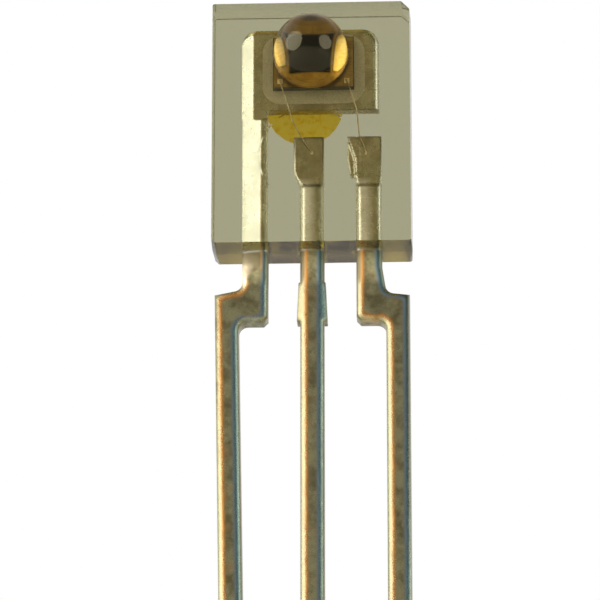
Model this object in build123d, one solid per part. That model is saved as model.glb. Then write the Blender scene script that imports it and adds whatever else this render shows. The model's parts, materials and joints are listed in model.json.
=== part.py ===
from build123d import *
import os

# A three-lead photodetector that looks out sideways: a chip on a stamped lead frame,
# moulded into a clear resin slab with a small dome lens in front of the chip.
# Millimetres. X runs across the face, -Y is the way the lens looks, +Z is up.
# Z = 0 is the board surface that the lead shoulders stand on, and the middle of the
# centre lead is at X = 0, Y = 0.

# Moulded body
body_width = 4.48
body_height = 5.74
front_depth = 0.76  # from the parting plane to the flat front
back_depth = 0.76
standoff = 1.66  # from the board to the underside of the body
draft_angle = 1.5  # degrees, on both mould halves
top_corner_cut = 0.20
bottom_corner_cut = 0.10

# Lens
lens_radius = 0.82
lens_drop = 1.24  # from the body's top to the lens axis
lens_barrel = 0.20  # short barrel between the flat front and the dome
barrel_taper = 0.01
lens_root_radius = 0.03

# Shallow round mark of the ejector pin on the flat front
pin_mark_radius = 1.15
pin_mark_depth = 0.015
pin_mark_drop = 3.70
pin_mark_shift = -0.03

# Lead frame
lead_thickness = 0.50
lead_width = 0.53  # below the shoulders, and the whole centre lead
neck_width = 0.57  # of the outer leads above the shoulders
inner_pitch = 1.27  # between leads where they leave the body
outer_pitch = 1.905  # between leads below the shoulders
lead_length = 12.70  # from the underside of the body to the tips
left_shoulder_height = 0.76  # where the shoulder meets the neck
left_shoulder_fall = 0.12  # of the trimmed shoulder towards its outer end
right_shoulder_height = 0.65
right_shoulder_fall = 0.06
right_flare_height = 0.62  # the right neck widens a little above its shoulder
right_flare = 0.10
shoulder_inner_radius = 0.20
shoulder_lower_radius = 0.20
shoulder_heel_cut = 0.10
stub_height = 0.90  # what is left of the tie bar on the centre lead
stub_top_reach = 0.035
stub_bottom_reach = 0.075
stub_rounding = 0.02
left_lead_lean = 0.20  # how far the left tip is bent towards the centre
roll_radius = 0.10  # rounded edges on the face that the punch entered
burr_radius = 0.03
tolerance = 1e-3  # for picking edges by their height or depth

# Coined faces of the lead frame inside the body
coin_depth = 0.05
coin_edge_radius = 0.03
paddle_left = -1.58
paddle_right = 1.52
paddle_height = 1.96
paddle_drop = 0.53  # from the body's top to the paddle's top
paddle_corner_radius = 0.38
paddle_roll_radius = 0.14
paddle_tail = 0.20  # coined stretch of the left lead below the paddle
bevel_width = 0.42  # broad bevel down the outer edge of the paddle and the left neck
bevel_depth = 0.12
bevel_overrun = 0.10  # of the cut past the edge
bevel_below_body = 0.41  # full bevel on the neck under the body
bevel_runout = 0.32  # in which it then fades out
pad_top_drop = 3.13  # from the body's top to the tops of both wire pads
pad_height = 1.16
centre_pad_left = -0.40
centre_pad_right = 0.275
centre_pad_slope_height = 0.32
centre_pad_slope_radius = 0.35
right_pad_left = 0.80
right_pad_right = 1.565
right_pad_slant_height = 0.56
right_pad_slant = 0.165
flash_depth = 0.10  # how far the squeezed-out lip lies behind the right pad's face
flash_top_drop = 0.12
flash_height = 0.78
flash_straight = 0.39  # upper stretch of the lip that is as wide as the pad's top
flash_taper = 0.055

# Chip
chip_width = 1.82
chip_height = 1.22
chip_thickness = 0.28
chip_shift = 0.05
chip_rise = 0.47  # from the paddle's lower edge
attach_thickness = 0.02
attach_side = 0.24  # how far the glue has spread around the chip
attach_below = 0.32
attach_above = 0.12
attach_corner_radius = 0.42
film_thickness = 0.01
film_inset = 0.02  # bare scribe line around the chip's edge
window_width = 0.40
window_height = 0.39
window_shift = -0.022
window_rise = 0.905  # from the chip's lower edge to the window's centre
strip_gap = 0.035  # between the window and the metal strips on its two sides
strip_drop = 0.02  # of the strips' tops from the window's top
left_strip_width = 0.15
left_strip_height = 0.28
right_strip_width = 0.23
right_strip_height = 0.36
bond_pad_size = 0.12
bond_pad_inset = 0.10
film_clearance = 0.01

# Bond wires, each from a ball on the chip to a flattened stitch on its lead's pad
wire_diameter = 0.03
ball_diameter = 0.085
ball_height = 0.025
ball_rounding = 0.008
wire_bend_radius = 0.05
stitch_length = 0.11
stitch_width = 0.06
stitch_thickness = 0.014
loop_height = 0.13  # of the wires above the chip
centre_stitch_inset = 0.265  # from the right edge of the centre pad
centre_stitch_drop = 0.38  # from the top of the centre pad
right_stitch_inset = 0.345  # from the right edge of the right pad
right_stitch_drop = 0.40  # from the top of the right pad
# Bends of each wire: how far down its way, how far to the side in mm, and how high,
# where 1 is the top of its loop and 0 is the pad
centre_wire_bends = [(0.327, -0.072, 0.93), (0.594, -0.132, 0.73), (0.891, -0.063, 0.25)]
right_wire_bends = [(0.222, 0.027, 0.95), (0.455, 0.039, 0.80), (0.755, -0.047, 0.41), (0.91, -0.012, 0.16)]

# Colour dot on the back
dot_radius = 0.87
dot_thickness = 0.02
dot_shift = -0.18
dot_drop = 2.23

body_bottom = standoff
body_top = standoff + body_height
lens_z = body_top - lens_drop
front_face = -front_depth
lead_front = -lead_thickness / 2
lead_back = lead_thickness / 2
coin_front = lead_front + coin_depth
tip_z = body_bottom - lead_length
neck_in = inner_pitch - neck_width / 2
neck_out = inner_pitch + neck_width / 2
leg_in = outer_pitch - lead_width / 2
leg_out = outer_pitch + lead_width / 2
pad_top = body_top - pad_top_drop
pad_bottom = pad_top - pad_height
paddle_top = body_top - paddle_drop
paddle_bottom = paddle_top - paddle_height
tail_bottom = paddle_bottom - paddle_tail
chip_back = coin_front - attach_thickness
chip_front = chip_back - chip_thickness
film_front = chip_front - film_thickness


def front_plane(y):
    """The XZ plane at this depth, whose normal looks out of the lens."""
    return Plane(origin=(0, y, 0), x_dir=(1, 0, 0), z_dir=(0, -1, 0))


def plate(outline, y_back, y_front):
    """A flat outline in X and Z given its thickness in Y."""
    return extrude(front_plane(y_back) * outline, y_back - y_front, dir=(0, -1, 0))


def rectangle(x_low, x_high, z_low, z_high):
    centre = Location(((x_low + x_high) / 2, (z_low + z_high) / 2))
    return centre * Rectangle(x_high - x_low, z_high - z_low)


def corner(outline, x, z):
    """The corner of an outline that is nearest to a point."""
    return outline.vertices().sort_by_distance((x, z, 0))[0]


def rolled(solid, y, radius, z_low, z_high):
    """Rounds the edges that lie in one Y plane, between two heights."""
    in_plane = solid.edges().filter_by_position(Axis.Y, y - tolerance, y + tolerance)
    chosen = [e for e in in_plane if z_low < e.center().Z < z_high]
    return fillet(chosen, radius)


# Moulded body, before the frame and the chip are taken out of it


def body_outline():
    half = body_width / 2
    return Polygon(
        (-half + bottom_corner_cut, body_bottom),
        (half, body_bottom),
        (half, body_top - top_corner_cut),
        (half - top_corner_cut, body_top),
        (-half, body_top),
        (-half, body_bottom + bottom_corner_cut),
        align=None,
    )


def lens():
    """Dome on its barrel, turned about the lens axis, with a small rounded root."""
    sunk = -front_depth / 2
    foot_radius = lens_radius + barrel_taper
    foot_reach = foot_radius + 2 * lens_root_radius
    section = Polyline(
        (0, sunk),
        (foot_reach, sunk),
        (foot_reach, 0),
        (foot_radius, 0),
        (lens_radius, lens_barrel),
    )
    section += CenterArc((0, lens_barrel), lens_radius, 0, 90)
    section += Line((0, lens_barrel + lens_radius), (0, sunk))
    face = make_face(section)
    face = fillet(corner(face, foot_radius, 0), lens_root_radius)
    across = Plane(origin=(0, front_face, lens_z), x_dir=(1, 0, 0), z_dir=(0, 0, -1))
    return revolve(across * face, Axis((0, front_face, lens_z), (0, 1, 0)))


def body_blank():
    front_half = extrude(front_plane(0) * body_outline(), front_depth, taper=draft_angle)
    back_half = mirror(
        extrude(front_plane(0) * body_outline(), back_depth, taper=draft_angle),
        about=Plane.XZ,
    )
    pin_mark = Location((pin_mark_shift, body_top - pin_mark_drop)) * Circle(pin_mark_radius)
    blank = front_half + back_half + lens()
    return blank - plate(pin_mark, front_face + pin_mark_depth, front_face - pin_mark_depth)


# Stamped lead frame


def outer_leg(top_z, lean, neck_side, shoulder_end):
    """An outer lead from top_z down over its shoulder to the tip, on the +X side."""
    outline = Polygon(
        (neck_in, top_z),
        *neck_side,
        (leg_out, shoulder_end),
        (leg_out - lean, tip_z),
        (leg_in - lean, tip_z),
        (leg_in, 0),
        (neck_in, 0),
        align=None,
    )
    outline = fillet(corner(outline, *neck_side[-1]), shoulder_inner_radius)
    outline = fillet(corner(outline, leg_in, 0), shoulder_lower_radius)
    outline = chamfer(corner(outline, neck_in, 0), shoulder_heel_cut)
    return rolled_leg(outline, top_z)


def rolled_leg(outline, top_z):
    """A leg whose long edges are rounded, more on the front than on the back."""
    leg = plate(outline, lead_back, lead_front)
    leg = rolled(leg, lead_front, roll_radius, tip_z + tolerance, top_z - tolerance)
    return rolled(leg, lead_back, burr_radius, tip_z + tolerance, top_z - tolerance)


def centre_leg():
    half = lead_width / 2
    leg = rolled_leg(rectangle(-half, half, tip_z, pad_bottom), pad_bottom)
    top_half = half + stub_top_reach
    bottom_half = half + stub_bottom_reach
    stub = plate(
        Polygon(
            (-top_half, stub_height),
            (top_half, stub_height),
            (bottom_half, 0),
            (-bottom_half, 0),
            align=None,
        ),
        lead_back - burr_radius,
        lead_front + burr_radius,
    )
    return leg + fillet(stub.edges(), stub_rounding)


def coined(outline, rounding, z_low):
    """A pressed-flat part of the frame, its face set back by the coining depth."""
    flat = plate(outline, lead_back, coin_front)
    return rolled(flat, coin_front, rounding, z_low, body_top)


def centre_lead():
    half = lead_width / 2
    slope_top = pad_bottom + centre_pad_slope_height
    outline = Polygon(
        (centre_pad_left, pad_top),
        (centre_pad_right, pad_top),
        (centre_pad_right, pad_bottom),
        (-half, pad_bottom),
        (centre_pad_left, slope_top),
        align=None,
    )
    outline = fillet(corner(outline, centre_pad_left, slope_top), centre_pad_slope_radius)
    return centre_leg() + coined(outline, coin_edge_radius, pad_bottom + tolerance)


def right_lead():
    slant_end = right_pad_left + right_pad_slant
    outline = Polygon(
        (right_pad_left, pad_top),
        (right_pad_right, pad_top),
        (right_pad_right, pad_bottom),
        (neck_in, pad_bottom),
        (slant_end, pad_top - right_pad_slant_height),
        align=None,
    )
    lip_top = pad_top - flash_top_drop
    lip = Polygon(
        (right_pad_left, lip_top),
        (slant_end, lip_top),
        (neck_in, lip_top - flash_height),
        (right_pad_left + flash_taper, lip_top - flash_height),
        (right_pad_left, lip_top - flash_straight),
        align=None,
    )
    flash = plate(lip, lead_back, coin_front + flash_depth)
    pad = coined(outline, coin_edge_radius, pad_bottom + tolerance)
    neck_side = [
        (neck_out, pad_bottom),
        (neck_out, right_shoulder_height + right_flare_height),
        (neck_out + right_flare, right_shoulder_height),
    ]
    leg = outer_leg(pad_bottom, 0, neck_side, right_shoulder_height - right_shoulder_fall)
    return leg + pad + flash


def paddle_lead():
    outline = Polygon(
        (paddle_left, paddle_top),
        (paddle_right, paddle_top),
        (paddle_right, paddle_bottom),
        (-neck_in, paddle_bottom),
        (-neck_in, tail_bottom),
        (paddle_left, tail_bottom),
        align=None,
    )
    outline = fillet(
        [corner(outline, paddle_left, paddle_top), corner(outline, paddle_right, paddle_top)],
        paddle_corner_radius,
    )
    paddle = coined(outline, paddle_roll_radius, paddle_bottom + tolerance)
    neck_side = [(neck_out, tail_bottom), (neck_out, left_shoulder_height)]
    shoulder_end = left_shoulder_height - left_shoulder_fall
    leg = outer_leg(tail_bottom, left_lead_lean, neck_side, shoulder_end)
    return paddle + mirror(leg, about=Plane.YZ) - left_bevel()


def left_bevel():
    """The wedge that is cut off the left lead's outer front edge, and its runout."""
    overrun_depth = bevel_depth * (1 + bevel_overrun / bevel_width)
    section = Polygon(
        (-neck_out + bevel_width, lead_front),
        (-neck_out - bevel_overrun, lead_front + overrun_depth),
        (-neck_out - bevel_overrun, lead_front - bevel_overrun),
        (-neck_out + bevel_width, lead_front - bevel_overrun),
        align=None,
    )
    full_bottom = body_bottom - bevel_below_body
    straight = extrude(Plane.XY.offset(full_bottom) * section, body_top - full_bottom, dir=(0, 0, 1))
    faded = Location((-bevel_width, 0)) * section
    runout = loft(
        [Plane.XY.offset(full_bottom) * section, Plane.XY.offset(full_bottom - bevel_runout) * faded],
        ruled=True,
    )
    return straight + runout


# Chip, its surface films and its glue

chip_lowest = paddle_bottom + chip_rise
chip_left = chip_shift - chip_width / 2
chip_right = chip_shift + chip_width / 2
chip_top = chip_lowest + chip_height
window_centre = chip_lowest + window_rise
window_left = window_shift - window_width / 2
window_right = window_shift + window_width / 2
strip_top = window_centre + window_height / 2 - strip_drop
bond_z = chip_lowest + bond_pad_inset + bond_pad_size / 2
bond_reach = chip_width / 2 - bond_pad_inset - bond_pad_size / 2
left_bond_x = chip_shift - bond_reach
right_bond_x = chip_shift + bond_reach


def window_outline(margin):
    half = window_height / 2 + margin
    return rectangle(
        window_left - margin, window_right + margin, window_centre - half, window_centre + half
    )


def strip_outline(side, margin):
    """A metal strip beside the window: side is -1 on the left and 1 on the right."""
    width = left_strip_width if side < 0 else right_strip_width
    height = left_strip_height if side < 0 else right_strip_height
    near = (window_left if side < 0 else window_right) + side * strip_gap
    far = near + side * width
    low, high = min(near, far) - margin, max(near, far) + margin
    return rectangle(low, high, strip_top - height - margin, strip_top + margin)


def bond_outline(x, margin):
    half = bond_pad_size / 2 + margin
    return rectangle(x - half, x + half, bond_z - half, bond_z + half)


def film(outline):
    return plate(outline, chip_front, film_front)


def light_shield():
    """The film over the circuit, open over the window, the strips and the bond pads."""
    shield = rectangle(
        chip_left + film_inset,
        chip_right - film_inset,
        chip_lowest + film_inset,
        chip_top - film_inset,
    )
    shield -= window_outline(film_clearance)
    for side in (-1, 1):
        shield -= strip_outline(side, film_clearance)
    for x in (left_bond_x, right_bond_x):
        shield -= bond_outline(x, film_clearance)
    return film(shield)


def die_attach():
    outline = rectangle(
        chip_left - attach_side,
        chip_right + attach_side,
        chip_lowest - attach_below,
        chip_top + attach_above,
    )
    outline = fillet(outline.vertices(), attach_corner_radius)
    return plate(outline, coin_front, chip_back)


# Bond wires


def bond_wire(ball_x, stitch_x, stitch_z, bends):
    """Ball on the chip, a loop through its bends, and a flattened stitch on the pad."""
    loop_front = film_front - loop_height
    ball = extrude(
        front_plane(film_front) * (Location((ball_x, bond_z)) * Circle(ball_diameter / 2)),
        ball_height,
    )
    ball = fillet(ball.edges().sort_by(Axis.Y)[0], ball_rounding)
    points = [
        (ball_x, film_front - ball_height / 2, bond_z),
        (ball_x, loop_front, bond_z - wire_diameter / 2),
    ]
    for share, sideways, height in bends:
        x = ball_x + share * (stitch_x - ball_x) + sideways
        y = coin_front + height * (loop_front - coin_front)
        points.append((x, y, bond_z + share * (stitch_z - bond_z)))
    points.append((stitch_x, coin_front - wire_diameter / 2, stitch_z))
    path = FilletPolyline(*points, radius=wire_bend_radius)
    section = Plane(origin=path @ 0, z_dir=path % 0) * Circle(wire_diameter / 2)
    heading = Vector(stitch_x - points[-2][0], stitch_z - points[-2][2])
    foot = Location((stitch_x, stitch_z), Vector(0, 1).get_signed_angle(heading))
    stitch = foot * SlotOverall(stitch_length, stitch_width, rotation=90)
    return ball + sweep(section, path=path) + plate(stitch, coin_front, coin_front - stitch_thickness)


def centre_wire():
    stitch_x = centre_pad_right - centre_stitch_inset
    return bond_wire(left_bond_x, stitch_x, pad_top - centre_stitch_drop, centre_wire_bends)


def right_wire():
    stitch_x = right_pad_right - right_stitch_inset
    return bond_wire(right_bond_x, stitch_x, pad_top - right_stitch_drop, right_wire_bends)


def marking_dot():
    spot = Location((dot_shift, body_top - dot_drop)) * Circle(dot_radius)
    return plate(spot, back_depth + dot_thickness, back_depth)


inside = {
    "paddle_lead": paddle_lead(),
    "centre_lead": centre_lead(),
    "right_lead": right_lead(),
    "die_attach": die_attach(),
    "detector_die": plate(
        rectangle(chip_left, chip_right, chip_lowest, chip_top), chip_back, chip_front
    ),
    "light_shield": light_shield(),
    "photodiode_window": film(window_outline(0)),
    "left_metal_strip": film(strip_outline(-1, 0)),
    "right_metal_strip": film(strip_outline(1, 0)),
    "left_bond_pad": film(bond_outline(left_bond_x, 0)),
    "right_bond_pad": film(bond_outline(right_bond_x, 0)),
    "centre_bond_wire": centre_wire(),
    "right_bond_wire": right_wire(),
}

resin_body = body_blank()
for solid in inside.values():
    resin_body -= solid

pieces = {"resin_body": resin_body, "marking_dot": marking_dot(), **inside}
for name, solid in pieces.items():
    export_step(solid, f"parts/{name}.step")
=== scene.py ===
import json
import math

import bmesh
import bpy
from mathutils import Matrix, Vector, geometry, noise

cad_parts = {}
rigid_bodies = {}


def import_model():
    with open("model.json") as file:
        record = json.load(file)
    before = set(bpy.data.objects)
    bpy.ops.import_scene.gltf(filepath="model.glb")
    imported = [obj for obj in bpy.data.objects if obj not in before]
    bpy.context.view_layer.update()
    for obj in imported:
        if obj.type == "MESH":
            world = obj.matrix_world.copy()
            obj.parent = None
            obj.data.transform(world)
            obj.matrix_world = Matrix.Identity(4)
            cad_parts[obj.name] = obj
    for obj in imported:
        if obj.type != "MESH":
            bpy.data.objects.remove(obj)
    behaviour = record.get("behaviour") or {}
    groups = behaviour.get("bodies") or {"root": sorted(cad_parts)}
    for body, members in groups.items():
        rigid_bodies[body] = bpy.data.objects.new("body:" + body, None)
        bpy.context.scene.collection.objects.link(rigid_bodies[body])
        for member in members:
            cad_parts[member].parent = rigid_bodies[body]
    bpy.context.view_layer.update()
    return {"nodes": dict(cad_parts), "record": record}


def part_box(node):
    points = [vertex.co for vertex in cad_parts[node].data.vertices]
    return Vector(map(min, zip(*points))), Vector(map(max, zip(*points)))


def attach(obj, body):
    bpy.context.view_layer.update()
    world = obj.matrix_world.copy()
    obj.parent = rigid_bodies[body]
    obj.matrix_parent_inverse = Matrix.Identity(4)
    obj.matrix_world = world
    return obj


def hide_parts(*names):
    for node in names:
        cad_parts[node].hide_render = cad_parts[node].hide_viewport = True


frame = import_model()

nodes = frame["nodes"]
mounts = {m["name"]: m for m in frame["record"]["mounts"]}
millimetre = 0.001
print("frame loaded:", len(nodes), "nodes")


# Small helpers

# sRGB hex to linear red, green, blue and alpha 1.
def toLinear(hexColour):
    parts = [int(hexColour[i:i + 2], 16) / 255 for i in (1, 3, 5)]
    return [c / 12.92 if c <= 0.04045 else ((c + 0.055) / 1.055) ** 2.4 for c in parts] + [1.0]


# Texture scale at which a pattern repeats about every size millimetres.
def grain(size):
    return 1 / (size * millimetre)


# The angles of even steps from 0 to a quarter turn.
def quarterTurn(steps):
    return [math.pi / 2 * k / steps for k in range(steps + 1)]


# The direction that lies some degrees to the right of -Y and some degrees up.
def lookFrom(side, up):
    a, e = math.radians(side), math.radians(up)
    return Vector((math.sin(a) * math.cos(e), -math.cos(a) * math.cos(e), math.sin(e)))


# A node with its properties and socket values set, and its inputs linked. A colour may be hex,
# "stops" are a colour ramp's positions and colours, and "range" is what a Map Range maps from
# and what to, or 0 to 1 where that is left out.
def addNode(tree, kind, settings=None, links=None):
    node = tree.nodes.new(kind)
    for key, value in (settings or {}).items():
        if key == "stops":
            elements = node.color_ramp.elements
            while len(elements) < len(value):
                elements.new(0.5)
            for element, (position, colour) in zip(elements, value):
                element.position = position
                element.color = toLinear(colour)
        elif key == "range":
            for socket, limit in zip(("From Min", "From Max", "To Min", "To Max"), value):
                node.inputs[socket].default_value = limit
        elif isinstance(key, str) and hasattr(node, key):
            setattr(node, key, value)
        else:
            node.inputs[key].default_value = toLinear(value) if isinstance(value, str) else value
    for key, source in (links or {}).items():
        tree.links.new(source, node.inputs[key])
    return node


def newMaterial(name):
    material = bpy.data.materials.new(name)
    material.use_nodes = True
    material.node_tree.nodes.clear()
    return material, material.node_tree


# Puts a finished mesh into the scene as a piece that rides on the part.
def meshPiece(name, mesh, slot, replaced):
    piece = bpy.data.objects.new(name, mesh)
    bpy.context.scene.collection.objects.link(piece)
    mesh.materials.clear()
    mesh.materials.append(materials[slot])
    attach(piece, "root")
    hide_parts(*replaced)


# The plain mesh of an object with its modifiers worked in. The object is then removed.
def bakedMesh(source, name):
    bpy.context.view_layer.update()
    graph = bpy.context.evaluated_depsgraph_get()
    mesh = bpy.data.meshes.new_from_object(source.evaluated_get(graph), depsgraph=graph)
    mesh.name = name
    source.modifiers.clear()
    bpy.data.objects.remove(source)
    return mesh


# Materials

# Clear epoxy cast in a polished mould: even and faintly smoky, with slightly soft reflections. Its
# top and bottom faces carry painted shade.
def castEpoxy():
    material, tree = newMaterial("castClearEpoxy")
    look = {
        "tint": "#B3B3A0",                   # of its faces
        "shadedEndTints": [(0.35, "#CDB660"), (0.65, "#EADC7C")],   # painted shade: a browner, mottled tint on the top and bottom
        "ends": (0.6, 0.9),                  # share of up or down at which a face is an end and takes the painted shade
        "clouding": 0.25,                    # mm, of the mottling in the painted shade
        "depthTint": "#DAD3A0",              # what its depth lets through: long ways are browner
        "depthDensity": 400.0,               # per metre
        "ior": 1.55,
        "sheenTint": "#E0D4A8",              # of its reflections
        "roughness": 0.09,                   # a little hazy, so what lies deep in it looks soft
        "waviness": 1.1,                     # mm, of the mould's polish
    }
    coords = addNode(tree, "ShaderNodeTexCoord").outputs["Object"]
    ripple = addNode(tree, "ShaderNodeTexNoise", {"Scale": grain(look["waviness"]), "Detail": 2.0},
                     {"Vector": coords})
    bump = addNode(tree, "ShaderNodeBump", {"Strength": 0.05, "Distance": 0.01 * millimetre},
                   {"Height": ripple.outputs["Fac"]})
    normal = addNode(tree, "ShaderNodeNewGeometry").outputs["Normal"]
    turned = addNode(tree, "ShaderNodeSeparateXYZ", links={0: normal})
    upward = addNode(tree, "ShaderNodeMath", {"operation": "ABSOLUTE"}, {0: turned.outputs["Z"]})
    # Painted shade: faces that point up or down take a browner, mottled tint.
    onShadedEnds = addNode(tree, "ShaderNodeMapRange", {"range": look["ends"]},
                     {"Value": upward.outputs[0]})
    cloud = addNode(tree, "ShaderNodeTexNoise", {"Scale": grain(look["clouding"]), "Detail": 4.0},
                    {"Vector": coords})
    endShade = addNode(tree, "ShaderNodeValToRGB", {"stops": look["shadedEndTints"]},
                    {0: cloud.outputs["Fac"]})
    colour = addNode(tree, "ShaderNodeMix", {"data_type": "RGBA", 6: look["tint"]},
                     {0: onShadedEnds.outputs["Result"], 7: endShade.outputs["Color"]})
    shader = addNode(tree, "ShaderNodeBsdfPrincipled", {
        "Roughness": look["roughness"], "IOR": look["ior"], "Transmission Weight": 1.0,
        "Specular Tint": look["sheenTint"],
    }, {"Base Color": colour.outputs[2], "Normal": bump.outputs["Normal"]})
    depth = addNode(tree, "ShaderNodeVolumeAbsorption", {
        "Color": look["depthTint"], "Density": look["depthDensity"]})
    addNode(tree, "ShaderNodeOutputMaterial", links={
        "Surface": shader.outputs[0], "Volume": depth.outputs[0]})
    return material


# Stamped copper alloy, silver plated. In the air it has tarnished to a blotchy olive brown.
# Its rounded edges carry painted light and shade by the way they face: pale and orange towards
# the left, dark blue grey towards the right. The bevel above the left shoulder and the left edges
# at its height have painted shade, with a painted highlight at the bevel's lower left end. The
# right lead's outer side has a painted highlight, and in the resin the left parts of the necks
# and the sides that face left or right have painted highlights.
def platedLead():
    material, tree = newMaterial("tarnishedSilverPlate")
    look = {
        "sealed": [(0.35, "#94865F"), (0.62, "#BBAC82")],      # in the resin
        "tarnished": [(0.38, "#746C4C"), (0.60, "#B2AA7E")],   # in the air
        "blotch": 0.38,                      # mm
        "grain": 0.035,                      # mm, of the rolled strip, drawn coarse enough to show
        "waver": 0.5,                        # mm, unevenness of the rounded edges
        "resinEdge": 0.05 * millimetre,      # the change at the resin's underside, up and down

        # How far in from an edge the face is rounded: in the air, then on the necks and the pads
        "crown": 0.18 * millimetre,
        "neckCrown": 0.13 * millimetre, "padCrown": 0.06 * millimetre,
        "padHeight": (3.15 * millimetre, 3.35 * millimetre),

        # Painted highlight and shade across a rounded edge, by which way it faces, from left, over
        # the front, to the right
        "resinEdgeLight": [
            (0.03, "#F6F0E6"), (0.22, "#FFD9A8"), (0.39, "#EE9C5C"), (0.445, "#F0B47C"),
            (0.48, "#F4E4D0"), (0.505, "#EEEEE2"), (0.54, "#C0D4DE"), (0.61, "#6C9CB8"),
            (0.70, "#7CA6C2"), (0.85, "#B4CCDC"), (0.97, "#F6F0E6")],
        "airEdgeLight": [
            (0.04, "#A49C80"), (0.12, "#8A8A70"), (0.175, "#84886A"), (0.25, "#8A8466"),
            (0.31, "#7E765A"), (0.375, "#AC9E7C"), (0.42, "#E8BE84"), (0.455, "#F2AE60"),
            (0.48, "#EA9A40"), (0.4925, "#D08632"), (0.5, "#A69C78"), (0.51, "#909088"),
            (0.525, "#8092A0"), (0.55, "#74949A"), (0.60, "#445A58"), (0.65, "#343F3D"),
            (0.72, "#4E6058"), (0.80, "#8C9E8C"), (0.90, "#A6A68E"), (0.96, "#A49C80")],
        "resinWaver": 0.20, "airWaver": 0.03,   # by how much the painted edge light wavers
        "airTintStart": (0.002, 0.014),      # how far an edge turns before it has its painted light
        "undersides": (0.10, 0.35, 1.0, 0.25),   # the painted edge light fades where it turns up or down

        # Bevel above the left lead's shoulder, and the left edges at its height: painted shade, and
        # a painted highlight at the bevel's lower left end
        "bevelHeight": (0.8 * millimetre, 1.0 * millimetre),
        "bevelSide": (-1.08 * millimetre, -1.18 * millimetre),
        "bevelFacing": (-0.14, -0.26),
        "leftEdgeShade": "#8A7F60", "bevelHighlight": "#FFEBC8",   # painted shade above, and a painted highlight at the bevel's lower left end
        "bevelHighlightSide": (-1.29 * millimetre, -1.47 * millimetre),
        "bevelHighlightHeight": (1.40 * millimetre, 1.20 * millimetre, 0.10, 0.9),

        # Outer side of the right lead: a painted highlight
        "outer": "#DADEC8",
        "outerSide": (2.11 * millimetre, 2.16 * millimetre),

        # Painted highlights in the resin: on the left part of each neck, and on the sides that face
        # left or right
        "neck": "#FFF2DC", "sideHighlight": "#FFFDF8",
        "pitch": 1.27 * millimetre, "halfWidth": 0.265 * millimetre,   # of the leads at the resin
        "neckLeft": (0.30, 0.14, 0.0, 0.95),     # shares of the pitch from a lead's left edge
        "neckWaver": (0.35, 0.58, 0.55, 1.0),
        "neckHeight": (3.10 * millimetre, 3.30 * millimetre, 1.0, 0.0),
        "rightSideHighlight": (0.3, 0.5), "leftSideHighlight": (-0.10, -0.22),   # how far a side faces for its painted highlight

        "roughness": (0.3, 0.7, 0.34, 0.22),     # smoother on the paler blotches
        "dullAboveBevel": 0.28,                  # more roughness at the bevel's height and above
        "softBump": (0.45, 0.05), "fineBump": (0.25, 0.0),   # in the air and in the resin
    }
    coords = addNode(tree, "ShaderNodeTexCoord").outputs["Object"]
    blotch = addNode(tree, "ShaderNodeTexNoise",
                     {"Scale": grain(look["blotch"]), "Detail": 5.0, "Roughness": 0.62},
                     {"Vector": coords}).outputs["Fac"]
    tall = addNode(tree, "ShaderNodeMapping", {"Scale": (1.0, 1.0, 0.18)}, {"Vector": coords})
    rolling = addNode(tree, "ShaderNodeTexNoise", {"Scale": grain(look["grain"]), "Detail": 3.0},
                      {"Vector": tall.outputs[0]}).outputs["Fac"]
    waver = addNode(tree, "ShaderNodeTexNoise", {"Scale": grain(look["waver"]), "Detail": 3.0},
                    {"Vector": coords}).outputs["Fac"]
    place = addNode(tree, "ShaderNodeSeparateXYZ", links={0: coords})
    height, side = place.outputs["Z"], place.outputs["X"]

    # Rounded edges
    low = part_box("resin_body")[0][2]
    sealed = addNode(tree, "ShaderNodeMapRange", {
        "range": (low - look["resinEdge"], low + look["resinEdge"])},
        {"Value": height}).outputs["Result"]
    inside = addNode(tree, "ShaderNodeMapRange", {
        "range": (*look["padHeight"], look["neckCrown"], look["padCrown"])}, {"Value": height})
    reach = addNode(tree, "ShaderNodeMix", {"data_type": "FLOAT", 2: look["crown"]},
                    {0: sealed, 3: inside.outputs["Result"]})
    rounded = addNode(tree, "ShaderNodeBevel", {"samples": 10},
                      {"Radius": reach.outputs[0]}).outputs["Normal"]
    direction = addNode(tree, "ShaderNodeSeparateXYZ", links={0: rounded})
    turned = direction.outputs["X"]

    # Painted edge light and shade in the resin and in the air, each with its edges wavering
    edgeLight = {}
    for kind, stops in (("resin", look["resinEdgeLight"]), ("air", look["airEdgeLight"])):
        amount = look[kind + "Waver"]
        shift = addNode(tree, "ShaderNodeMath", {
            "operation": "MULTIPLY_ADD", 1: amount, 2: -amount / 2}, {0: waver})
        facing = addNode(tree, "ShaderNodeMath", {"operation": "ADD"},
                         {0: turned, 1: shift.outputs[0]})
        across = addNode(tree, "ShaderNodeMapRange", {"range": (-1.0, 1.0)},
                         {"Value": facing.outputs[0]})
        colour = addNode(tree, "ShaderNodeValToRGB", {"stops": stops},
                         {0: across.outputs["Result"]})
        edgeLight[kind] = (facing.outputs[0], colour.outputs["Color"])

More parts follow.
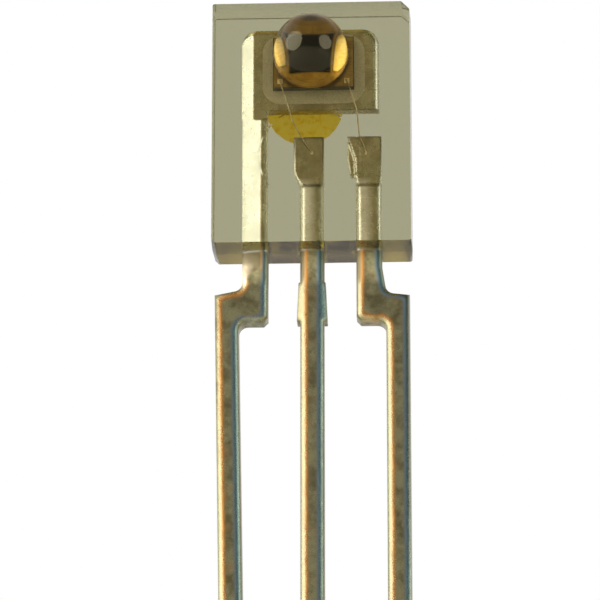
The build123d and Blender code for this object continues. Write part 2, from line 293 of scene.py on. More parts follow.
    # In the air: painted light and shade on the rounded edges, but not beside the bevel
    bevelled = addNode(tree, "ShaderNodeMapRange", {"range": look["bevelHeight"]},
                       {"Value": height}).outputs["Result"]
    leftmost = addNode(tree, "ShaderNodeMapRange", {"range": look["bevelSide"]}, {"Value": side})
    plain = addNode(tree, "ShaderNodeMath", {"operation": "MULTIPLY"},
                    {0: bevelled, 1: leftmost.outputs["Result"]})
    notPlain = addNode(tree, "ShaderNodeMapRange", {"range": (0.0, 1.0, 1.0, 0.0)},
                       {"Value": plain.outputs[0]})
    bent = addNode(tree, "ShaderNodeMath", {"operation": "ABSOLUTE"}, {0: edgeLight["air"][0]})
    onEdge = addNode(tree, "ShaderNodeMapRange", {"range": look["airTintStart"]},
                     {"Value": bent.outputs[0]})
    onRoll = addNode(tree, "ShaderNodeMath", {"operation": "MULTIPLY"},
                     {0: onEdge.outputs["Result"], 1: notPlain.outputs["Result"]})
    steep = addNode(tree, "ShaderNodeMath", {"operation": "ABSOLUTE"},
                    {0: direction.outputs["Z"]})
    fading = addNode(tree, "ShaderNodeMapRange", {"range": look["undersides"]},
                     {"Value": steep.outputs[0]})
    onSide = addNode(tree, "ShaderNodeMath", {"operation": "MULTIPLY"},
                     {0: onRoll.outputs[0], 1: fading.outputs["Result"]})
    inAir = addNode(tree, "ShaderNodeValToRGB", {"stops": look["tarnished"]}, {0: blotch})
    rolls = addNode(tree, "ShaderNodeMix", {"data_type": "RGBA"}, {
        0: onSide.outputs[0], 6: inAir.outputs["Color"], 7: edgeLight["air"][1]})
    # Painted highlight on the right lead's outer side
    rightmost = addNode(tree, "ShaderNodeMapRange", {"range": look["outerSide"]}, {"Value": side})
    lower = addNode(tree, "ShaderNodeMix", {"data_type": "RGBA", 7: look["outer"]},
                    {0: rightmost.outputs["Result"], 6: rolls.outputs[2]}).outputs[2]

    # In the air: painted shade on the bevel and on the left edges at its height, with a painted
    # highlight at the bevel's lower left end
    outwards = addNode(tree, "ShaderNodeMapRange", {"range": look["bevelHighlightSide"]}, {"Value": side})
    downwards = addNode(tree, "ShaderNodeMapRange", {"range": look["bevelHighlightHeight"]},
                        {"Value": height})
    towardsEnd = addNode(tree, "ShaderNodeMath", {"operation": "MULTIPLY"},
                         {0: outwards.outputs["Result"], 1: downwards.outputs["Result"]})
    bevelColour = addNode(tree, "ShaderNodeMix", {
        "data_type": "RGBA", 6: look["leftEdgeShade"], 7: look["bevelHighlight"]}, {0: towardsEnd.outputs[0]})
    onBevel = addNode(tree, "ShaderNodeMapRange", {"range": look["bevelFacing"]},
                      {"Value": turned})
    withBevel = addNode(tree, "ShaderNodeMix", {"data_type": "RGBA"}, {
        0: onBevel.outputs["Result"], 6: lower, 7: bevelColour.outputs[2]})
    airColour = addNode(tree, "ShaderNodeMix", {"data_type": "RGBA"}, {
        0: bevelled, 6: lower, 7: withBevel.outputs[2]})

    # In the resin: painted edge light over the blotches, then painted highlights on right sides, on
    # the necks' left parts and on left sides
    inResin = addNode(tree, "ShaderNodeValToRGB", {"stops": look["sealed"]}, {0: blotch})
    # Painted highlight and shade on the rounded edges in the resin, laid over the blotches
    edgeLitResin = addNode(tree, "ShaderNodeMix", {
        "data_type": "RGBA", "blend_type": "MULTIPLY", 0: 0.5},
        {6: inResin.outputs["Color"], 7: edgeLight["resin"][1]})
    rightSides = addNode(tree, "ShaderNodeMapRange", {"range": look["rightSideHighlight"]},
                         {"Value": turned})
    rightSideHighlight = addNode(tree, "ShaderNodeMix", {"data_type": "RGBA", 7: look["sideHighlight"]},
                         {0: rightSides.outputs["Result"], 6: edgeLitResin.outputs[2]})
    pitches = addNode(tree, "ShaderNodeMath", {
        "operation": "MULTIPLY_ADD", 1: 1 / look["pitch"], 2: look["halfWidth"] / look["pitch"]},
        {0: side})
    fromLeft = addNode(tree, "ShaderNodeMath", {"operation": "FRACT"}, {0: pitches.outputs[0]})
    leftShare = addNode(tree, "ShaderNodeMapRange", {"range": look["neckLeft"]},
                        {"Value": fromLeft.outputs[0]})
    uneven = addNode(tree, "ShaderNodeMapRange", {"range": look["neckWaver"]}, {"Value": waver})
    leftPart = addNode(tree, "ShaderNodeMath", {"operation": "MULTIPLY"},
                       {0: leftShare.outputs["Result"], 1: uneven.outputs["Result"]})
    belowPad = addNode(tree, "ShaderNodeMapRange", {"range": look["neckHeight"]},
                       {"Value": height})
    onNeck = addNode(tree, "ShaderNodeMath", {"operation": "MULTIPLY"},
                     {0: leftPart.outputs[0], 1: belowPad.outputs["Result"]})
    neckHighlighted = addNode(tree, "ShaderNodeMix", {"data_type": "RGBA", 7: look["neck"]},
                       {0: onNeck.outputs[0], 6: rightSideHighlight.outputs[2]})
    leftSides = addNode(tree, "ShaderNodeMapRange", {"range": look["leftSideHighlight"]},
                        {"Value": turned})
    resinColour = addNode(tree, "ShaderNodeMix", {"data_type": "RGBA", 7: look["sideHighlight"]},
                          {0: leftSides.outputs["Result"], 6: neckHighlighted.outputs[2]})

    colour = addNode(tree, "ShaderNodeMix", {"data_type": "RGBA"}, {
        0: sealed, 6: airColour.outputs[2], 7: resinColour.outputs[2]})
    dullness = addNode(tree, "ShaderNodeMapRange", {
        "range": (0.0, 1.0, look["dullAboveBevel"], 0.0)}, {"Value": sealed})
    dulled = addNode(tree, "ShaderNodeMath", {"operation": "MULTIPLY"},
                     {0: bevelled, 1: dullness.outputs["Result"]})
    gloss = addNode(tree, "ShaderNodeMapRange", {"range": look["roughness"]}, {"Value": blotch})
    roughness = addNode(tree, "ShaderNodeMath", {"operation": "ADD"},
                        {0: gloss.outputs["Result"], 1: dulled.outputs[0]})
    softStrength = addNode(tree, "ShaderNodeMapRange", {
        "range": (0.0, 1.0, *look["softBump"])}, {"Value": sealed})
    soft = addNode(tree, "ShaderNodeBump", {"Distance": 0.03 * millimetre}, {
        "Strength": softStrength.outputs["Result"], "Height": waver, "Normal": rounded})
    fineStrength = addNode(tree, "ShaderNodeMapRange", {
        "range": (0.0, 1.0, *look["fineBump"])}, {"Value": sealed})
    fine = addNode(tree, "ShaderNodeBump", {"Distance": 0.003 * millimetre}, {
        "Strength": fineStrength.outputs["Result"], "Height": rolling,
        "Normal": soft.outputs["Normal"]})
    shader = addNode(tree, "ShaderNodeBsdfPrincipled", {"Metallic": 1.0}, {
        "Base Color": colour.outputs[2], "Roughness": roughness.outputs[0],
        "Normal": fine.outputs["Normal"]})
    addNode(tree, "ShaderNodeOutputMaterial", links={"Surface": shader.outputs[0]})
    return material


# Epoxy filled with silver flakes, cured: dull and pale with fine bright specks.
def silverGlue():
    material, tree = newMaterial("silverFilledEpoxy")
    look = {"flake": 0.02, "colours": [(0.0, "#F2E6C8"), (0.6, "#C9B892")]}   # flake in mm
    coords = addNode(tree, "ShaderNodeTexCoord").outputs["Object"]
    flakes = addNode(tree, "ShaderNodeTexVoronoi", {"Scale": grain(look["flake"])},
                     {"Vector": coords}).outputs["Distance"]
    colour = addNode(tree, "ShaderNodeValToRGB", {"stops": look["colours"]}, {0: flakes})
    bump = addNode(tree, "ShaderNodeBump", {"Strength": 0.4, "Distance": 0.003 * millimetre},
                   {"Height": flakes})
    shader = addNode(tree, "ShaderNodeBsdfPrincipled", {"Metallic": 0.4, "Roughness": 0.5},
                     {"Base Color": colour.outputs["Color"], "Normal": bump.outputs["Normal"]})
    addNode(tree, "ShaderNodeOutputMaterial", links={"Surface": shader.outputs[0]})
    return material


# Silicon cut by a fine saw: dark grey, half glossy, with faint vertical saw marks.
def sawnSilicon():
    material, tree = newMaterial("sawnSilicon")
    look = {"sawMark": 0.012, "colours": [(0.3, "#3B352E"), (0.7, "#564E45")]}   # mark in mm
    coords = addNode(tree, "ShaderNodeTexCoord").outputs["Object"]
    tall = addNode(tree, "ShaderNodeMapping", {"Scale": (1.0, 0.15, 1.0)}, {"Vector": coords})
    marks = addNode(tree, "ShaderNodeTexNoise", {"Scale": grain(look["sawMark"]), "Detail": 2.0},
                    {"Vector": tall.outputs[0]}).outputs["Fac"]
    colour = addNode(tree, "ShaderNodeValToRGB", {"stops": look["colours"]}, {0: marks})
    bump = addNode(tree, "ShaderNodeBump", {"Strength": 0.3, "Distance": 0.002 * millimetre},
                   {"Height": marks})
    shader = addNode(tree, "ShaderNodeBsdfPrincipled", {"Metallic": 0.6, "Roughness": 0.35},
                     {"Base Color": colour.outputs["Color"], "Normal": bump.outputs["Normal"]})
    addNode(tree, "ShaderNodeOutputMaterial", links={"Surface": shader.outputs[0]})
    return material


# Metal over the circuit under a coat of amber polyimide: brown, glossy, faintly gridded.
def amberShield():
    material, tree = newMaterial("polyimideOverMetal")
    look = {
        "cell": 0.09,                        # mm, width of the circuit's cells
        "cellColours": ("#8F6E2C", "#A07A34"), "gap": "#7A5A20",
        "patch": 0.25,                       # mm
        "patchColours": [(0.35, "#86652A"), (0.7, "#BE964C")],
        "patchShare": 0.6,
    }
    coords = addNode(tree, "ShaderNodeTexCoord").outputs["Object"]
    turned = addNode(tree, "ShaderNodeMapping", {"Rotation": (math.radians(90), 0, 0)},
                     {"Vector": coords})
    cells = addNode(tree, "ShaderNodeTexBrick", {
        "Scale": grain(look["cell"]) * 0.5, "Mortar Size": 0.06, "Mortar Smooth": 0.3,
        "Bias": 0.0, "Brick Width": 0.9, "Row Height": 0.45, "Color1": look["cellColours"][0],
        "Color2": look["cellColours"][1], "Mortar": look["gap"],
    }, {"Vector": turned.outputs[0]})
    patch = addNode(tree, "ShaderNodeTexNoise", {"Scale": grain(look["patch"]), "Detail": 3.0},
                    {"Vector": coords})
    shade = addNode(tree, "ShaderNodeValToRGB", {"stops": look["patchColours"]},
                    {0: patch.outputs["Fac"]})
    colour = addNode(tree, "ShaderNodeMix", {"data_type": "RGBA", 0: look["patchShare"]},
                     {6: cells.outputs["Color"], 7: shade.outputs["Color"]})
    bump = addNode(tree, "ShaderNodeBump", {"Strength": 0.2, "Distance": 0.001 * millimetre},
                   {"Height": cells.outputs["Fac"]})
    shader = addNode(tree, "ShaderNodeBsdfPrincipled", {"Metallic": 0.85, "Roughness": 0.28},
                     {"Base Color": colour.outputs[2], "Normal": bump.outputs["Normal"]})
    addNode(tree, "ShaderNodeOutputMaterial", links={"Surface": shader.outputs[0]})
    return material


# Silicon under an anti-reflection coat tuned to the near infrared: close to black.
def diodeCoating():
    material, tree = newMaterial("antiReflectionNitride")
    look = {"patch": 0.2, "colours": [(0.3, "#040404"), (0.7, "#0A0A08")]}   # patch in mm
    coords = addNode(tree, "ShaderNodeTexCoord").outputs["Object"]
    patch = addNode(tree, "ShaderNodeTexNoise", {"Scale": grain(look["patch"]), "Detail": 2.0},
                    {"Vector": coords})
    colour = addNode(tree, "ShaderNodeValToRGB", {"stops": look["colours"]},
                     {0: patch.outputs["Fac"]})
    shader = addNode(tree, "ShaderNodeBsdfPrincipled", {"Roughness": 0.12, "IOR": 1.06},
                     {"Base Color": colour.outputs["Color"]})
    addNode(tree, "ShaderNodeOutputMaterial", links={"Surface": shader.outputs[0]})
    return material


# Evaporated metal on the chip: bright, warm and a little grainy.
def chipMetal():
    material, tree = newMaterial("evaporatedContactMetal")
    look = {"crystal": 0.015, "colours": [(0.0, "#FFEBB0"), (0.8, "#F0C060")]}   # crystal in mm
    coords = addNode(tree, "ShaderNodeTexCoord").outputs["Object"]
    crystals = addNode(tree, "ShaderNodeTexVoronoi", {"Scale": grain(look["crystal"])},
                       {"Vector": coords}).outputs["Distance"]
    colour = addNode(tree, "ShaderNodeValToRGB", {"stops": look["colours"]}, {0: crystals})
    bump = addNode(tree, "ShaderNodeBump", {"Strength": 0.25, "Distance": 0.001 * millimetre},
                   {"Height": crystals})
    shader = addNode(tree, "ShaderNodeBsdfPrincipled", {"Metallic": 1.0, "Roughness": 0.3},
                     {"Base Color": colour.outputs["Color"], "Normal": bump.outputs["Normal"]})
    addNode(tree, "ShaderNodeOutputMaterial", links={"Surface": shader.outputs[0]})
    return material


# Drawn gold wire: smooth and bright, a little darker and paler by turns.
def goldWire():
    material, tree = newMaterial("drawnGoldWire")
    look = {"streak": 0.01, "colours": [(0.3, "#D6C296"), (0.7, "#E8D6AE")]}   # streak in mm
    coords = addNode(tree, "ShaderNodeTexCoord").outputs["Object"]
    streaks = addNode(tree, "ShaderNodeTexNoise", {"Scale": grain(look["streak"]), "Detail": 2.0},
                      {"Vector": coords})
    colour = addNode(tree, "ShaderNodeValToRGB", {"stops": look["colours"]},
                     {0: streaks.outputs["Fac"]})
    shader = addNode(tree, "ShaderNodeBsdfPrincipled", {"Metallic": 1.0, "Roughness": 0.38},
                     {"Base Color": colour.outputs["Color"]})
    addNode(tree, "ShaderNodeOutputMaterial", links={"Surface": shader.outputs[0]})
    return material


# Thin print in dyed ink: see-through yellow, a little hazy, with paler and darker clouds.
def markingInk():
    material, tree = newMaterial("driedYellowInk")
    look = {
        "cloud": 0.12,                       # mm
        "colours": [(0.36, "#E8B41C"), (0.48, "#FFDC44"), (0.62, "#FFE562")],
    }
    coords = addNode(tree, "ShaderNodeTexCoord").outputs["Object"]
    cloud = addNode(tree, "ShaderNodeTexNoise",
                    {"Scale": grain(look["cloud"]), "Detail": 6.0, "Roughness": 0.7},
                    {"Vector": coords}).outputs["Fac"]
    colour = addNode(tree, "ShaderNodeValToRGB", {"stops": look["colours"]}, {0: cloud})
    bump = addNode(tree, "ShaderNodeBump", {"Strength": 0.2, "Distance": 0.004 * millimetre},
                   {"Height": cloud})
    shader = addNode(tree, "ShaderNodeBsdfPrincipled", {
        "Roughness": 0.4, "IOR": 1.1, "Transmission Weight": 0.9,
    }, {"Base Color": colour.outputs["Color"], "Normal": bump.outputs["Normal"]})
    addNode(tree, "ShaderNodeOutputMaterial", links={"Surface": shader.outputs[0]})
    return material


materials = {
    "clear_resin": castEpoxy(),
    "plated_lead_frame": platedLead(),
    "silver_glue": silverGlue(),
    "silicon": sawnSilicon(),
    "shield_film": amberShield(),
    "diode_coating": diodeCoating(),
    "chip_metal": chipMetal(),
    "gold_wire": goldWire(),
    "yellow_ink": markingInk(),
}
for entry in frame["record"]["subparts"]:
    node = nodes[entry["node"]]
    node.data.materials.clear()
    node.data.materials.append(materials[entry["material_slot"]])
print("materials made:", len(materials))


# Resin body: slab with drafted sides, dome on a short barrel and pin mark, as one closed surface

bodySettings = {
    "draft": 1.5,                            # degrees, on both mould halves
    "topCut": 0.20 * millimetre,             # bevelled top right corner
    "bottomCut": 0.10 * millimetre,          # bevelled bottom left corner
    "cornerRadius": 0.05 * millimetre,
    "edgeRadius": 0.012 * millimetre,
    "steps": 4,                              # faces round each small radius
    "halfDepth": 0.76 * millimetre,
    "lensRadius": 0.82 * millimetre,
    "lensBarrel": 0.20 * millimetre,
    "barrelTaper": 0.01 * millimetre,
    "lensRoot": 0.03 * millimetre,           # radius where the barrel meets the slab
    "lensRings": 40,
    "around": 128,                           # faces round each circle
    "pinMarkX": -0.03 * millimetre,
    "pinMarkDrop": 3.70 * millimetre,        # from the body's top to the mark's middle
    "pinMarkRadius": 1.15 * millimetre,
    "pinMarkDepth": 0.006 * millimetre,
    "pinMarkSlope": 0.03 * millimetre,       # width of its sloping rim
    "snap": 1e-6,                            # mm, at which points of the front count as one
    "sharpAngle": 50,                        # degrees
}

shadingSettings = {
    "front": -0.757 * millimetre,            # the front face and the pin mark lie near this Y
    "frontReach": 0.004 * millimetre,
    "squareness": 0.9999,                    # of a face that looks along Y
    "largeArea": 0.2 * millimetre ** 2,
}


# The corners of a convex outline, listed anticlockwise, moved in by the same distance.
def insetCorners(corners, inset):
    moved = []
    for i, point in enumerate(corners):
        into = (point - corners[i - 1]).normalized()
        away = (corners[(i + 1) % len(corners)] - point).normalized()
        bisector = (away - into).normalized()
        moved.append(point + bisector * inset / abs(bisector.cross(away)))
    return moved


# The inset outline with an arc of the radius at each corner.
def roundedOutline(corners, inset, radius, steps):
    points = []
    for i, centre in enumerate(insetCorners(corners, inset + radius)):
        into = (corners[i] - corners[i - 1]).normalized()
        away = (corners[(i + 1) % len(corners)] - corners[i]).normalized()
        start = math.atan2(-into.x, into.y)
        turn = math.atan2(into.cross(away), into.dot(away))
        for k in range(steps + 1):
            angle = start + turn * k / steps
            points.append(centre + Vector((math.cos(angle), math.sin(angle))) * radius)
    return points


def addRing(bm, points, y):
    return [bm.verts.new((p[0], y, p[1])) for p in points]


# Quads between two rings of as many points.
def bridge(bm, first, second):
    count = len(first)
    for i in range(count):
        bm.faces.new((first[i], first[(i + 1) % count], second[(i + 1) % count], second[i]))


def circlePoints(centreX, centreZ, radius, count):
    turns = [2 * math.pi * i / count for i in range(count)]
    return [(centreX + radius * math.cos(t), centreZ + radius * math.sin(t)) for t in turns]


# Triangles between a flat outer ring and round holes in it.
def fillFlat(bm, outer, holes, snap):
    verts = list(outer)
    edges = [(i, (i + 1) % len(outer)) for i in range(len(outer))]
    rounds = []
    for hole in holes:
        first = len(verts)
        verts += hole
        edges += [(first + i, first + (i + 1) % len(hole)) for i in range(len(hole))]
        centre = sum((v.co for v in hole), Vector()) / len(hole)
        rounds.append((centre, (hole[0].co - centre).length))
    places = [Vector((v.co.x, v.co.z)) / millimetre for v in verts]
    insideEdges = 1                          # keeps only the triangles inside the outer ring
    filled = geometry.delaunay_2d_cdt(places, edges, [], insideEdges, snap)
    for face in filled[2]:
        corners = [verts[filled[3][i][0]] for i in face]
        middle = sum((v.co for v in corners), Vector()) / len(corners)
        if all((middle - centre).length > radius for centre, radius in rounds):
            bm.faces.new(corners)


def countOpenEdges(bm):
    return sum(len(e.link_faces) != 2 for e in bm.edges)


def buildBody(s):
    low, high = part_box("resin_body")
    half = (high[0] - low[0]) / 2
    corners = [Vector(c) for c in (
        (-half + s["bottomCut"], low[2]), (half, low[2]),
        (half, high[2] - s["topCut"]), (half - s["topCut"], high[2]),
        (-half, high[2]), (-half, low[2] + s["bottomCut"]))]
    slope = math.tan(math.radians(s["draft"]))
    edge, depth = s["edgeRadius"], s["halfDepth"]
    profile = []                             # (y, inset) from the front face to the back face
    for angle in quarterTurn(s["steps"]):
        y = -depth + edge * (1 - math.cos(angle))
        profile.append((y, slope * abs(y) + edge * (1 - math.sin(angle))))
    profile += [(0.0, 0.0)] + [(-y, inset) for y, inset in reversed(profile)]
    bm = bmesh.new()
    rings = [addRing(bm, roundedOutline(corners, inset, s["cornerRadius"], s["steps"]), y)
             for y, inset in profile]
    for first, second in zip(rings, rings[1:]):
        bridge(bm, first, second)
    bm.faces.new(rings[-1])

    lensZ = mounts["optical_axis"]["pos_m"][2]
    count = s["around"]
    front = -depth
    dome, root, base = s["lensRadius"], s["lensRoot"], front - s["lensBarrel"]
    foot = dome + s["barrelTaper"]
    lensProfile = [(foot + root * (1 - math.sin(a)), front - root * (1 - math.cos(a)))
                   for a in quarterTurn(s["steps"])]    # (radius, y) from the slab to the top
    lensProfile += [(dome * math.cos(a), base - dome * math.sin(a))
                    for a in quarterTurn(s["lensRings"])[:-1]]
    lensRings = [addRing(bm, circlePoints(0, lensZ, r, count), y) for r, y in lensProfile]
    for first, second in zip(lensRings, lensRings[1:]):
        bridge(bm, second, first)
    apex = bm.verts.new((0, base - dome, lensZ))
    for i in range(count):
        bm.faces.new((lensRings[-1][(i + 1) % count], lensRings[-1][i], apex))

    markX, markZ, markRadius = s["pinMarkX"], high[2] - s["pinMarkDrop"], s["pinMarkRadius"]
    rim = addRing(bm, circlePoints(markX, markZ, markRadius, count), front)
    floor = addRing(bm, circlePoints(markX, markZ, markRadius - s["pinMarkSlope"], count),
                    front + s["pinMarkDepth"])
    bridge(bm, rim, floor)
    bm.faces.new(floor)
    fillFlat(bm, rings[0], [lensRings[0], rim], s["snap"])
    bmesh.ops.recalc_face_normals(bm, faces=bm.faces)
    mesh = bpy.data.meshes.new("resinBody")
    bm.to_mesh(mesh)
    print("resin body:", len(bm.faces), "faces,", countOpenEdges(bm), "open edges, volume mm3",
          round(bm.calc_volume(signed=True) / millimetre ** 3, 3))
    bm.free()
    return mesh


# Smooth shading of what is round. Large faces, and the front and back, stay flat.
def shadeRound(mesh, sharpAngle, s):
    mesh.set_sharp_from_angle(angle=math.radians(sharpAngle))
    for polygon in mesh.polygons:
        onFront = abs(polygon.center.y - s["front"]) < s["frontReach"]
        alongY = abs(polygon.normal.y) > s["squareness"]
        polygon.use_smooth = not (onFront or alongY or polygon.area > s["largeArea"])
    return mesh


bodyMesh = shadeRound(buildBody(bodySettings), bodySettings["sharpAngle"], shadingSettings)
meshPiece("resinBody", bodyMesh, "clear_resin", ["resin_body"])
print("resin body placed")


# Lead frame: the CAD meshes merged, so that their material can round the rolled edges

leadSettings = {
    "names": {"paddle_lead": "paddleLead", "centre_lead": "centreLead", "right_lead": "rightLead"},
    "mergeWithin": 1e-4 * millimetre,
    "shortestEdge": 1e-5 * millimetre,
}


def mergedCopy(s, node, name):
    bm = bmesh.new()
    bm.from_mesh(nodes[node].data)
    bmesh.ops.remove_doubles(bm, verts=bm.verts, dist=s["mergeWithin"])
    bmesh.ops.dissolve_degenerate(bm, dist=s["shortestEdge"], edges=bm.edges)
    mesh = bpy.data.meshes.new(name)
    bm.to_mesh(mesh)
    print(name, "faces:", len(bm.faces), "open edges:", countOpenEdges(bm))
    bm.free()
    return mesh


for node, name in leadSettings["names"].items():
    meshPiece(name, mergedCopy(leadSettings, node, name), "plated_lead_frame", [node])


# Colour dot: a thin pool of ink with an uneven rim, sunk a little into the resin's back

dotSettings = {
    "centre": (-0.18 * millimetre, 5.17 * millimetre),
    "radius": 0.865 * millimetre,
    "unevenness": 0.02,                      # of the radius
    "ragged": 4.0, "raggedSlice": 7.0,       # how fast the rim wanders, and where in the noise
    "front": 0.757 * millimetre, "rim": 0.764 * millimetre, "top": 0.779 * millimetre,
    "around": 160, "rings": 10,
    "sharpAngle": 40,                        # degrees
}


def buildDot(s):
    bm = bmesh.new()
    centreX, centreZ = s["centre"]

    def ring(share, y):
        points = []
        for k in range(s["around"]):
            a = 2 * math.pi * k / s["around"]
            x, z = math.cos(a), math.sin(a)
            wander = noise.noise(Vector((x * s["ragged"], z * s["ragged"], s["raggedSlice"])))
            reach = s["radius"] * share * (1 - s["unevenness"] * (0.5 + 0.5 * wander))
            points.append((centreX + reach * x, centreZ + reach * z))
        return addRing(bm, points, y)

    last = ring(1.0, s["front"])
    bm.faces.new(last)
    for angle in quarterTurn(s["rings"])[:-1]:
        share = math.cos(angle)
        current = ring(share, s["rim"] + (s["top"] - s["rim"]) * (1 - share) ** 0.5)
        bridge(bm, last, current)
        last = current
    bm.faces.new(last)
    bmesh.ops.recalc_face_normals(bm, faces=bm.faces)
    mesh = bpy.data.meshes.new("markingDot")
    bm.to_mesh(mesh)
    bm.free()
    return shadeRound(mesh, s["sharpAngle"], shadingSettings)


meshPiece("markingDot", buildDot(dotSettings), "yellow_ink", ["marking_dot"])
print("lead frame and dot placed")


# Bond wires, grown along their route by Geometry Nodes with the ball and the stitch at the ends

wireSettings = {
    "wireRadius": 0.015 * millimetre,
    "bendRadius": 0.12 * millimetre,
    "ballSize": (0.0425 * millimetre, 0.014 * millimetre, 0.0425 * millimetre),
    "stitchSize": (0.03 * millimetre, 0.009 * millimetre, 0.05 * millimetre),
    "around": 12,                            # faces round the wire
    "endSegments": 24, "endRings": 14,       # of the ball and the stitch
    "routes": {                              # mm, from the chip to the lead's pad
        "centre": [(-0.70, -0.520, 5.54), (-0.70, -0.64, 5.525), (-0.540, -0.609, 5.000),
                   (-0.410, -0.521, 4.560), (-0.130, -0.310, 4.070), (0.01, -0.212, 3.89)],
        "right": [(0.80, -0.520, 5.54), (0.80, -0.64, 5.525), (0.920, -0.618, 5.169),
                  (1.030, -0.552, 4.780), (1.070, -0.380, 4.279), (1.170, -0.270, 4.020),
                  (1.22, -0.212, 3.87)],
    },
}


def wireGrower(s, material):
    tree = bpy.data.node_groups.new("wireGrower", "GeometryNodeTree")
    tree.interface.new_socket("Geometry", in_out="INPUT", socket_type="NodeSocketGeometry")
    for name, kind in (("Wire Radius", "Float"), ("Bend Radius", "Float"), ("Ball", "Vector"),
                       ("Ball Size", "Vector"), ("Stitch", "Vector"), ("Stitch Size", "Vector")):
        tree.interface.new_socket(name, in_out="INPUT", socket_type="NodeSocket" + kind)
    tree.interface.new_socket("Geometry", in_out="OUTPUT", socket_type="NodeSocketGeometry")
    given = addNode(tree, "NodeGroupInput").outputs
    bends = addNode(tree, "GeometryNodeFilletCurve", {"mode": "POLY", "Limit Radius": True},
                    {"Curve": given["Geometry"], "Radius": given["Bend Radius"]})
    section = addNode(tree, "GeometryNodeCurvePrimitiveCircle", {"Resolution": s["around"]},
                      {"Radius": given["Wire Radius"]})
    wire = addNode(tree, "GeometryNodeCurveToMesh", {"Fill Caps": True},
                   {"Curve": bends.outputs[0], "Profile Curve": section.outputs[0]})
    blob = addNode(tree, "GeometryNodeMeshUVSphere", {
        "Segments": s["endSegments"], "Rings": s["endRings"], "Radius": 1.0})
    ends = [addNode(tree, "GeometryNodeTransform", links={
        "Geometry": blob.outputs["Mesh"], "Translation": given[end], "Scale": given[end + " Size"]})
        for end in ("Ball", "Stitch")]
    join = addNode(tree, "GeometryNodeJoinGeometry")
    for part in (wire, *ends):
        tree.links.new(part.outputs[0], join.inputs[0])
    real = addNode(tree, "GeometryNodeRealizeInstances", links={0: join.outputs[0]})
    smooth = addNode(tree, "GeometryNodeSetShadeSmooth", links={0: real.outputs[0]})
    painted = addNode(tree, "GeometryNodeSetMaterial", {"Material": material},
                      {"Geometry": smooth.outputs[0]})
    addNode(tree, "NodeGroupOutput", links={0: painted.outputs[0]})
    return tree


def growWire(s, tree, name):
    route = [Vector(p) * millimetre for p in s["routes"][name]]
    curve = bpy.data.curves.new(name, "CURVE")
    curve.dimensions = "3D"
    spline = curve.splines.new("POLY")
    spline.points.add(len(route) - 1)
    for point, place in zip(spline.points, route):
        point.co = (*place, 1.0)
    source = bpy.data.objects.new(name, curve)
    bpy.context.scene.collection.objects.link(source)
    grower = source.modifiers.new("grower", "NODES")
    grower.node_group = tree
    values = {"Wire Radius": s["wireRadius"], "Bend Radius": s["bendRadius"], "Ball": route[0],
              "Ball Size": s["ballSize"], "Stitch": route[-1], "Stitch Size": s["stitchSize"]}
    for item in tree.interface.items_tree:
        if item.in_out == "INPUT" and item.name in values:
            grower[item.identifier] = values[item.name]
    return bakedMesh(source, name + "Wire")


wireTree = wireGrower(wireSettings, materials["gold_wire"])
for name in wireSettings["routes"]:
    wireMesh = growWire(wireSettings, wireTree, name)
    meshPiece(name + "Wire", wireMesh, "gold_wire", [name + "_bond_wire"])
print("bond wires grown")


# Stage: pale floor, white surroundings, two soft boxes and a camera that looks up from below

stageSettings = {
    "floorDrop": 45 * millimetre, "floorRadius": 500 * millimetre, "floorColour": "#E4E3DF",
    "floorFade": (0.5, 0.95),                # shares of the radius over which the floor fades
    "backdrop": 0.8, "room": 0.34,           # brightness behind the part and on the camera's side
    "backdropFrom": (0.1, 0.8),              # how far a direction points back
    "leftWall": 0.9, "leftWallFrom": (-0.35, -0.8),
    "lampDistance": 170 * millimetre,
    "lampCentre": (0, 0, 4 * millimetre),
    "lamps": [(-52, 13, 0.29, 178), (49, 8, 0.13, 130)],   # degrees right and up, watts, mm across
}


def buildFloor(s):
    bm = bmesh.new()
    bmesh.ops.create_circle(bm, cap_ends=True, segments=64, radius=s["floorRadius"],
                            matrix=Matrix.Translation((0, 0, -s["floorDrop"])))
    mesh = bpy.data.meshes.new("floor")
    bm.to_mesh(mesh)
    bm.free()
    material, tree = newMaterial("matteFloor")
    coords = addNode(tree, "ShaderNodeTexCoord").outputs["Object"]
    distance = addNode(tree, "ShaderNodeVectorMath", {"operation": "LENGTH"}, {0: coords})
    fade = addNode(tree, "ShaderNodeMapRange", {
        "range": [share * s["floorRadius"] for share in s["floorFade"]]},
        {"Value": distance.outputs["Value"]})
    paint = addNode(tree, "ShaderNodeBsdfPrincipled", {
        "Base Color": s["floorColour"], "Roughness": 0.8})
    clear = addNode(tree, "ShaderNodeBsdfTransparent")
    mixed = addNode(tree, "ShaderNodeMixShader", links={
        0: fade.outputs["Result"], 1: paint.outputs[0], 2: clear.outputs[0]})
    addNode(tree, "ShaderNodeOutputMaterial", links={"Surface": mixed.outputs[0]})
    mesh.materials.append(material)
    floor = bpy.data.objects.new("floor", mesh)
    bpy.context.scene.collection.objects.link(floor)


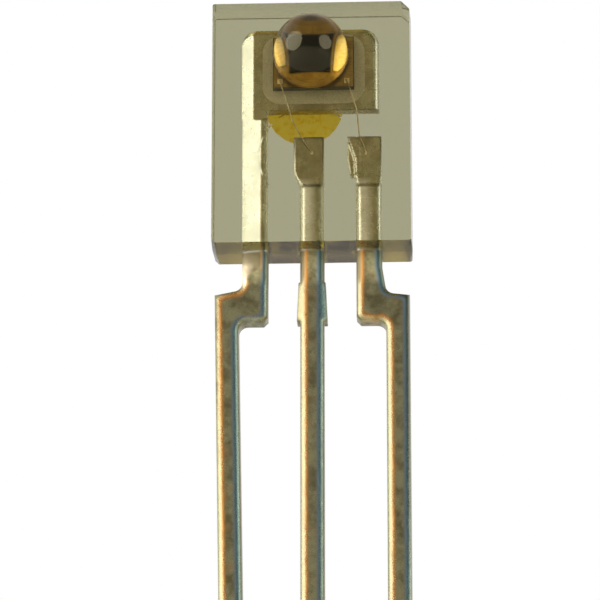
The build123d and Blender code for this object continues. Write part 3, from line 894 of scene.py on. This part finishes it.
# White behind the part, and wherever the camera or glass looks; a dimmer room in front.
def buildSurroundings(s):
    world = bpy.data.worlds.new("studio")
    bpy.context.scene.world = world
    world.use_nodes = True
    tree = world.node_tree
    tree.nodes.clear()
    coords = addNode(tree, "ShaderNodeTexCoord").outputs["Generated"]
    turned = addNode(tree, "ShaderNodeSeparateXYZ", links={0: coords})
    behind = addNode(tree, "ShaderNodeMapRange", {
        "range": (*s["backdropFrom"], s["room"], s["backdrop"])}, {"Value": turned.outputs["Y"]})
    left = addNode(tree, "ShaderNodeMapRange", {
        "range": (*s["leftWallFrom"], 0.0, s["leftWall"])}, {"Value": turned.outputs["X"]})
    level = addNode(tree, "ShaderNodeMath", {"operation": "ADD"},
                    {0: behind.outputs["Result"], 1: left.outputs["Result"]})
    path = addNode(tree, "ShaderNodeLightPath").outputs
    through = addNode(tree, "ShaderNodeMath", {"operation": "GREATER_THAN", 1: 0.5},
                      {0: path["Transmission Depth"]})
    white = addNode(tree, "ShaderNodeMath", {"operation": "MAXIMUM"},
                    {0: path["Is Camera Ray"], 1: through.outputs[0]})
    strength = addNode(tree, "ShaderNodeMath", {"operation": "MAXIMUM"},
                       {0: white.outputs[0], 1: level.outputs[0]})
    background = addNode(tree, "ShaderNodeBackground", {"Color": (1, 1, 1, 1)},
                         {"Strength": strength.outputs[0]})
    addNode(tree, "ShaderNodeOutputWorld", links={"Surface": background.outputs[0]})


def buildLamps(s):
    for index, (side, up, power, across) in enumerate(s["lamps"]):
        towards = lookFrom(side, up)
        lamp = bpy.data.lights.new(f"softBox{index}", "AREA")
        lamp.shape = "DISK"
        lamp.size = across * millimetre
        lamp.energy = power
        holder = bpy.data.objects.new(lamp.name, lamp)
        holder.location = towards * s["lampDistance"] + Vector(s["lampCentre"])
        holder.rotation_euler = towards.to_track_quat("Z", "Y").to_euler()
        holder.visible_camera = False
        bpy.context.scene.collection.objects.link(holder)


cameraSettings = {
    "target": (-0.266 * millimetre, -0.25 * millimetre, 0.477 * millimetre),
    "side": 2.5, "up": -18.5,                # degrees; the photograph looks up from below
    "distance": 100 * millimetre,
    "lens": 270.6, "sensor": 36,
    "nearest": 1 * millimetre, "farthest": 2000 * millimetre,
}


def buildCamera(s):
    back = lookFrom(s["side"], s["up"])
    data = bpy.data.cameras.new("camera")
    data.lens = s["lens"]
    data.sensor_width = s["sensor"]
    data.clip_start = s["nearest"]
    data.clip_end = s["farthest"]
    holder = bpy.data.objects.new("camera", data)
    holder.location = Vector(s["target"]) + back * s["distance"]
    holder.rotation_euler = (-back).to_track_quat("-Z", "Y").to_euler()
    bpy.context.scene.collection.objects.link(holder)
    bpy.context.scene.camera = holder


buildFloor(stageSettings)
buildSurroundings(stageSettings)
buildLamps(stageSettings)
buildCamera(cameraSettings)
bpy.context.scene.view_settings.view_transform = "Standard"
print("stage, lamps and camera placed")
